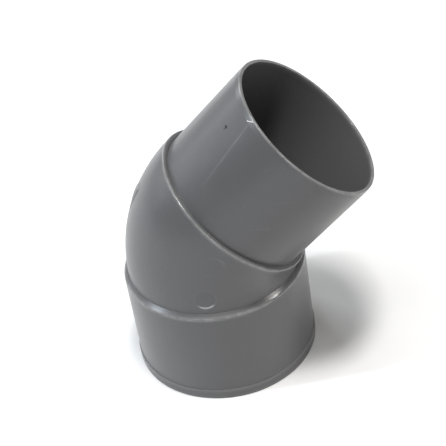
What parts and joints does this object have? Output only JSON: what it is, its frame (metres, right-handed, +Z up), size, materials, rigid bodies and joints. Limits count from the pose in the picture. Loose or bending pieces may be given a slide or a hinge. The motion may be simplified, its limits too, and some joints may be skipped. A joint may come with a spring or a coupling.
{
  "type": "pipe elbow",
  "caption": "45 degree grey PVC pipe elbow with a plain solvent-weld socket at one end and a plain spigot of the pipe's own size at the other.",
  "frame": {"origin": "centre of the socket's mouth, on the plane the mouth stands on", "axes": "+Z up the socket's axis, from the mouth towards the bend; the spigot leans towards +X in the XZ plane; +Y completes the right-handed frame"},
  "size_m": [0.0791, 0.0566, 0.0961],
  "materials": {
    "pvc_grey": "semi-gloss, as moulded"
  },
  "bodies": {
    "root": {"socket_mouth_band": "pvc_grey", "socket_sleeve": "pvc_grey", "pipe_stop_ring": "pvc_grey", "shoulder_ring": "pvc_grey", "bend_shell": "pvc_grey", "ledge_collar": "pvc_grey", "spigot_tube": "pvc_grey", "spigot_lead_in": "pvc_grey", "gate_vestige": "pvc_grey"}
  },
  "joints": []
}
